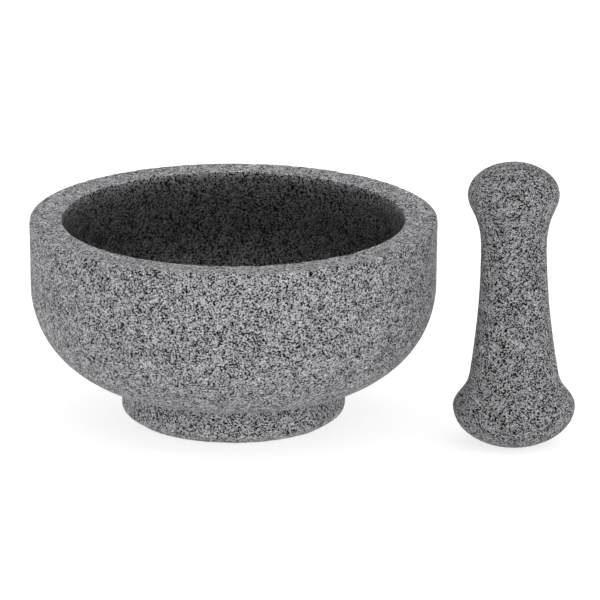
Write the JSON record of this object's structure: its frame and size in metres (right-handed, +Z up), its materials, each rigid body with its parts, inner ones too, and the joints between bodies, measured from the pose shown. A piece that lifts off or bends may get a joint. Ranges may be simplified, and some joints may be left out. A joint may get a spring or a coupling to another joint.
{
  "type": "mortar and pestle",
  "caption": "Round speckled granite mortar with a thick flat rim, a deep well and a low foot, and its waisted pestle with a wide grinding head standing beside it.",
  "frame": {"origin": "centre of the flat underside of the mortar's foot, on the surface that the mortar and the pestle stand on", "axes": "+Z up along the mortar's axis, +X towards the side where the pestle stands, +Y away from a viewer who has the pestle on the right"},
  "size_m": [0.2711, 0.203, 0.1435],
  "materials": {
    "granite": "matte, finely pecked, light grey with black, dark grey and pale grains",
    "dark_granite": "matte, finely pecked, mid grey with black, dark grey and pale grains"
  },
  "bodies": {
    "mortar_body": {"mortar": "granite"},
    "pestle_body": {"pestle": "dark_granite"}
  },
  "joints": [
    {"name": "pestle_lift", "type": "slide", "parent": "mortar_body", "child": "pestle_body", "axis": [0, 0, 1], "range_m": [0, 0.11]}
  ]
}
